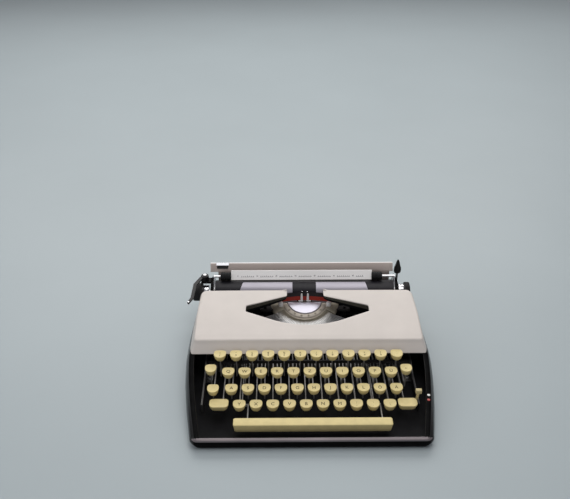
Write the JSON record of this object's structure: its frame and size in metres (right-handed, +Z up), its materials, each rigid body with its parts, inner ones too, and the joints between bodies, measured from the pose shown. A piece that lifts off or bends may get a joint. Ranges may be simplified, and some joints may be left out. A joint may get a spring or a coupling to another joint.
{
  "type": "portable typewriter",
  "caption": "Low portable typewriter with a light grey cover over a black casing, four rows of cream keys and a sliding carriage that feeds paper round a roller.",
  "frame": {"origin": "on the table under the middle of the casing, at the bottom of the rubber feet", "axes": "+X to the typist's right, +Y away from the typist, +Z up"},
  "size_m": [0.3001, 0.27, 0.086],
  "materials": {
    "casing_black": "glossy black lacquer",
    "cover_grey": "semi-gloss warm light grey enamel",
    "key_cream": "slightly worn, glossy",
    "steel": "satin, lightly worn",
    "chrome": "polished",
    "dark_steel": "dull, oiled",
    "foot_rubber": "matte",
    "roller_rubber": "smooth, faint sheen",
    "knob_black": "glossy",
    "ribbon_fabric": "inked, matte",
    "paper_table_metal": "satin",
    "selector_beige": "satin"
  },
  "bodies": {
    "base": {"base_casing": "casing_black", "rubber_feet": "foot_rubber", "case_screws": "steel", "main_frame": "dark_steel", "key_comb": "dark_steel", "type_guide": "chrome", "card_guide": "chrome", "carriage_rail": "steel", "ribbon": "ribbon_fabric"},
    "cover": {"top_cover": "cover_grey"},
    "basket": {"segment": "steel", "typebars": "steel"},
    "typebar": {"typebar_h": "steel"},
    "vibrator": {"ribbon_vibrator": "steel"},
    "left_spool_body": {"left_spool": "dark_steel"},
    "right_spool_body": {"right_spool": "dark_steel"},
    "carriage": {"carriage_frame": "casing_black", "paper_table": "paper_table_metal"},
    "bail": {"paper_bail": "chrome"},
    "bail_roller_pair": {"bail_rollers": "roller_rubber"},
    "platen_body": {"platen": "roller_rubber", "platen_knobs": "knob_black"},
    "feed_roller_body": {"feed_rollers": "roller_rubber"},
    "return_lever_body": {"return_lever": "knob_black"},
    "release_lever_body": {"paper_release_lever": "knob_black"},
    "drum_body": {"mainspring_drum": "steel"},
    "escapement_body": {"escapement_wheel": "steel"},
    "selector_body": {"ribbon_selector": "selector_beige"},
    "space_bar_body": {"space_bar": "key_cream"},
    "shift_body": {"shift_keys": "key_cream"},
    "shift_lock_body": {"shift_lock_key": "key_cream"},
    "backspace_body": {"backspace_key": "key_cream"},
    "margin_release_body": {"margin_release_key": "key_cream"},
    "figure_keys_body": {"figure_keys": "key_cream"},
    "key_q_body": {"key_q": "key_cream"},
    "key_w_body": {"key_w": "key_cream"},
    "key_e_body": {"key_e": "key_cream"},
    "key_r_body": {"key_r": "key_cream"},
    "key_t_body": {"key_t": "key_cream"},
    "key_z_body": {"key_z": "key_cream"},
    "key_u_body": {"key_u": "key_cream"},
    "key_i_body": {"key_i": "key_cream"},
    "key_o_body": {"key_o": "key_cream"},
    "key_p_body": {"key_p": "key_cream"},
    "key_a_body": {"key_a": "key_cream"},
    "key_s_body": {"key_s": "key_cream"},
    "key_d_body": {"key_d": "key_cream"},
    "key_f_body": {"key_f": "key_cream"},
    "key_g_body": {"key_g": "key_cream"},
    "key_h_body": {"key_h": "key_cream"},
    "key_j_body": {"key_j": "key_cream"},
    "key_k_body": {"key_k": "key_cream"},
    "key_l_body": {"key_l": "key_cream"},
    "key_y_body": {"key_y": "key_cream"},
    "key_x_body": {"key_x": "key_cream"},
    "key_c_body": {"key_c": "key_cream"},
    "key_v_body": {"key_v": "key_cream"},
    "key_b_body": {"key_b": "key_cream"},
    "key_n_body": {"key_n": "key_cream"},
    "key_m_body": {"key_m": "key_cream"}
  },
  "joints": [
    {"name": "carriage_slide", "type": "slide", "parent": "base", "child": "carriage", "axis": [1, 0, 0], "range_m": [-0.11, 0.11]},
    {"name": "platen_turn", "type": "hinge", "parent": "carriage", "child": "platen_body", "pos_m": [0, 0.095, 0.047], "axis": [1, 0, 0], "continuous": true},
    {"name": "bail_swing", "type": "hinge", "parent": "carriage", "child": "bail", "pos_m": [0, 0.087, 0.051], "axis": [1, 0, 0], "range_deg": [0, 50]},
    {"name": "bail_roller_turn", "type": "hinge", "parent": "bail", "child": "bail_roller_pair", "pos_m": [0, 0.1005, 0.068], "axis": [1, 0, 0], "continuous": true},
    {"name": "return_lever_swing", "type": "hinge", "parent": "carriage", "child": "return_lever_body", "pos_m": [-0.13395, 0.101, 0.066], "axis": [0, 0, 1], "range_deg": [0, 35], "stiffness_Nm_per_rad": 0.1, "springref_deg": -11.46},
    {"name": "release_lever_swing", "type": "hinge", "parent": "carriage", "child": "release_lever_body", "pos_m": [0.1232, 0.111, 0.05], "axis": [1, 0, 0], "range_deg": [0, 25]},
    {"name": "cover_lift", "type": "slide", "parent": "base", "child": "cover", "axis": [0, 0, 1], "range_m": [0, 0.06]},
    {"name": "shift_press", "type": "hinge", "parent": "base", "child": "shift_body", "pos_m": [0, 0.08, 0.011], "axis": [1, 0, 0], "range_deg": [0, 2.92], "stiffness_Nm_per_rad": 3, "springref_deg": -2.86},
    {"name": "key_h_press", "type": "hinge", "parent": "base", "child": "key_h_body", "pos_m": [0, 0.08, 0.011], "axis": [1, 0, 0], "range_deg": [0, 3.24], "stiffness_Nm_per_rad": 0.8, "springref_deg": -2.86},
    {"name": "space_bar_press", "type": "hinge", "parent": "base", "child": "space_bar_body", "pos_m": [0, 0.08, 0.011], "axis": [1, 0, 0], "range_deg": [0, 1.45], "stiffness_Nm_per_rad": 2.5, "springref_deg": -2.86},
    {"name": "selector_tilt", "type": "hinge", "parent": "base", "child": "selector_body", "pos_m": [0.1226, -0.075, 0.012], "axis": [1, 0, 0], "range_deg": [-8, 8]},
    {"name": "left_spool_turn", "type": "hinge", "parent": "base", "child": "left_spool_body", "pos_m": [-0.101, 0.041, 0.045], "axis": [0, 0, 1], "continuous": true},
    {"name": "figure_keys_press", "type": "hinge", "parent": "base", "child": "figure_keys_body", "pos_m": [0, 0.08, 0.011], "axis": [1, 0, 0], "range_deg": [0, 2.89], "stiffness_Nm_per_rad": 8, "springref_deg": -2.86},
    {"name": "shift_lock_press", "type": "hinge", "parent": "shift_body", "child": "shift_lock_body", "pos_m": [0, 0.08, 0.011], "axis": [1, 0, 0], "range_deg": [0, 1.1], "stiffness_Nm_per_rad": 0.8, "springref_deg": -2.86},
    {"name": "backspace_press", "type": "hinge", "parent": "base", "child": "backspace_body", "pos_m": [0, 0.08, 0.011], "axis": [1, 0, 0], "range_deg": [0, 3.72], "stiffness_Nm_per_rad": 0.8, "springref_deg": -2.86},
    {"name": "margin_release_press", "type": "hinge", "parent": "base", "child": "margin_release_body", "pos_m": [0, 0.08, 0.011], "axis": [1, 0, 0], "range_deg": [0, 3.82], "stiffness_Nm_per_rad": 0.8, "springref_deg": -2.86},
    {"name": "typebar_swing", "type": "hinge", "parent": "basket", "child": "typebar", "pos_m": [-0.002, 0.04507, 0.03359], "axis": [-1, 0, 0], "range_deg": [0, 142]},
    {"name": "vibrator_lift", "type": "slide", "parent": "base", "child": "vibrator", "axis": [0, 0, 1], "range_m": [0, 0.0081], "deforming": ["ribbon"]},
    {"name": "basket_shift", "type": "slide", "parent": "base", "child": "basket", "axis": [0, 0, -1], "range_m": [0, 0.0065], "stiffness_N_per_m": 400, "springref_m": -0.006},
    {"name": "right_spool_turn", "type": "hinge", "parent": "base", "child": "right_spool_body", "pos_m": [0.101, 0.041, 0.045], "axis": [0, 0, 1], "continuous": true},
    {"name": "drum_turn", "type": "hinge", "parent": "base", "child": "drum_body", "pos_m": [-0.105, 0.101, 0.011], "axis": [0, 0, 1], "range_deg": [-485, 485]},
    {"name": "escapement_turn", "type": "hinge", "parent": "base", "child": "escapement_body", "pos_m": [0, 0.114, 0.018], "axis": [0, 1, 0], "range_deg": [-1051, 1051]},
    {"name": "feed_roller_turn", "type": "hinge", "parent": "carriage", "child": "feed_roller_body", "pos_m": [0, 0.101, 0.02839], "axis": [1, 0, 0], "continuous": true},
    {"name": "key_q_press", "type": "hinge", "parent": "base", "child": "key_q_body", "pos_m": [0, 0.08, 0.011], "axis": [1, 0, 0], "range_deg": [0, 3.71], "stiffness_Nm_per_rad": 0.8, "springref_deg": -2.86},
    {"name": "key_w_press", "type": "hinge", "parent": "base", "child": "key_w_body", "pos_m": [0, 0.08, 0.011], "axis": [1, 0, 0], "range_deg": [0, 3.71], "stiffness_Nm_per_rad": 0.8, "springref_deg": -2.86},
    {"name": "key_e_press", "type": "hinge", "parent": "base", "child": "key_e_body", "pos_m": [0, 0.08, 0.011], "axis": [1, 0, 0], "range_deg": [0, 3.71], "stiffness_Nm_per_rad": 0.8, "springref_deg": -2.86},
    {"name": "key_r_press", "type": "hinge", "parent": "base", "child": "key_r_body", "pos_m": [0, 0.08, 0.011], "axis": [1, 0, 0], "range_deg": [0, 3.71], "stiffness_Nm_per_rad": 0.8, "springref_deg": -2.86},
    {"name": "key_t_press", "type": "hinge", "parent": "base", "child": "key_t_body", "pos_m": [0, 0.08, 0.011], "axis": [1, 0, 0], "range_deg": [0, 3.71], "stiffness_Nm_per_rad": 0.8, "springref_deg": -2.86},
    {"name": "key_z_press", "type": "hinge", "parent": "base", "child": "key_z_body", "pos_m": [0, 0.08, 0.011], "axis": [1, 0, 0], "range_deg": [0, 3.71], "stiffness_Nm_per_rad": 0.8, "springref_deg": -2.86},
    {"name": "key_u_press", "type": "hinge", "parent": "base", "child": "key_u_body", "pos_m": [0, 0.08, 0.011], "axis": [1, 0, 0], "range_deg": [0, 3.71], "stiffness_Nm_per_rad": 0.8, "springref_deg": -2.86},
    {"name": "key_i_press", "type": "hinge", "parent": "base", "child": "key_i_body", "pos_m": [0, 0.08, 0.011], "axis": [1, 0, 0], "range_deg": [0, 3.71], "stiffness_Nm_per_rad": 0.8, "springref_deg": -2.86},
    {"name": "key_o_press", "type": "hinge", "parent": "base", "child": "key_o_body", "pos_m": [0, 0.08, 0.011], "axis": [1, 0, 0], "range_deg": [0, 3.71], "stiffness_Nm_per_rad": 0.8, "springref_deg": -2.86},
    {"name": "key_p_press", "type": "hinge", "parent": "base", "child": "key_p_body", "pos_m": [0, 0.08, 0.011], "axis": [1, 0, 0], "range_deg": [0, 3.71], "stiffness_Nm_per_rad": 0.8, "springref_deg": -2.86},
    {"name": "key_a_press", "type": "hinge", "parent": "base", "child": "key_a_body", "pos_m": [0, 0.08, 0.011], "axis": [1, 0, 0], "range_deg": [0, 3.24], "stiffness_Nm_per_rad": 0.8, "springref_deg": -2.86},
    {"name": "key_s_press", "type": "hinge", "parent": "base", "child": "key_s_body", "pos_m": [0, 0.08, 0.011], "axis": [1, 0, 0], "range_deg": [0, 3.24], "stiffness_Nm_per_rad": 0.8, "springref_deg": -2.86},
    {"name": "key_d_press", "type": "hinge", "parent": "base", "child": "key_d_body", "pos_m": [0, 0.08, 0.011], "axis": [1, 0, 0], "range_deg": [0, 3.24], "stiffness_Nm_per_rad": 0.8, "springref_deg": -2.86},
    {"name": "key_f_press", "type": "hinge", "parent": "base", "child": "key_f_body", "pos_m": [0, 0.08, 0.011], "axis": [1, 0, 0], "range_deg": [0, 3.24], "stiffness_Nm_per_rad": 0.8, "springref_deg": -2.86},
    {"name": "key_g_press", "type": "hinge", "parent": "base", "child": "key_g_body", "pos_m": [0, 0.08, 0.011], "axis": [1, 0, 0], "range_deg": [0, 3.24], "stiffness_Nm_per_rad": 0.8, "springref_deg": -2.86},
    {"name": "key_j_press", "type": "hinge", "parent": "base", "child": "key_j_body", "pos_m": [0, 0.08, 0.011], "axis": [1, 0, 0], "range_deg": [0, 3.24], "stiffness_Nm_per_rad": 0.8, "springref_deg": -2.86},
    {"name": "key_k_press", "type": "hinge", "parent": "base", "child": "key_k_body", "pos_m": [0, 0.08, 0.011], "axis": [1, 0, 0], "range_deg": [0, 3.24], "stiffness_Nm_per_rad": 0.8, "springref_deg": -2.86},
    {"name": "key_l_press", "type": "hinge", "parent": "base", "child": "key_l_body", "pos_m": [0, 0.08, 0.011], "axis": [1, 0, 0], "range_deg": [0, 3.24], "stiffness_Nm_per_rad": 0.8, "springref_deg": -2.86},
    {"name": "key_y_press", "type": "hinge", "parent": "base", "child": "key_y_body", "pos_m": [0, 0.08, 0.011], "axis": [1, 0, 0], "range_deg": [0, 2.89], "stiffness_Nm_per_rad": 0.8, "springref_deg": -2.86},
    {"name": "key_x_press", "type": "hinge", "parent": "base", "child": "key_x_body", "pos_m": [0, 0.08, 0.011], "axis": [1, 0, 0], "range_deg": [0, 2.89], "stiffness_Nm_per_rad": 0.8, "springref_deg": -2.86},
    {"name": "key_c_press", "type": "hinge", "parent": "base", "child": "key_c_body", "pos_m": [0, 0.08, 0.011], "axis": [1, 0, 0], "range_deg": [0, 2.89], "stiffness_Nm_per_rad": 0.8, "springref_deg": -2.86},
    {"name": "key_v_press", "type": "hinge", "parent": "base", "child": "key_v_body", "pos_m": [0, 0.08, 0.011], "axis": [1, 0, 0], "range_deg": [0, 2.89], "stiffness_Nm_per_rad": 0.8, "springref_deg": -2.86},
    {"name": "key_b_press", "type": "hinge", "parent": "base", "child": "key_b_body", "pos_m": [0, 0.08, 0.011], "axis": [1, 0, 0], "range_deg": [0, 2.89], "stiffness_Nm_per_rad": 0.8, "springref_deg": -2.86},
    {"name": "key_n_press", "type": "hinge", "parent": "base", "child": "key_n_body", "pos_m": [0, 0.08, 0.011], "axis": [1, 0, 0], "range_deg": [0, 2.89], "stiffness_Nm_per_rad": 0.8, "springref_deg": -2.86},
    {"name": "key_m_press", "type": "hinge", "parent": "base", "child": "key_m_body", "pos_m": [0, 0.08, 0.011], "axis": [1, 0, 0], "range_deg": [0, 2.89], "stiffness_Nm_per_rad": 0.8, "springref_deg": -2.86}
  ],
  "couplings": [
    {"joint": "typebar_swing", "follows": "key_h_press", "ratio": 43.822},
    {"joint": "vibrator_lift", "follows": "key_h_press", "m_per_rad": 0.1415},
    {"joint": "basket_shift", "follows": "shift_press", "m_per_rad": 0.12735},
    {"joint": "right_spool_turn", "follows": "left_spool_turn", "ratio": 1},
    {"joint": "drum_turn", "follows": "carriage_slide", "rad_per_m": 76.923},
    {"joint": "escapement_turn", "follows": "carriage_slide", "rad_per_m": 166.67},
    {"joint": "feed_roller_turn", "follows": "platen_turn", "ratio": -3.875}
  ]
}
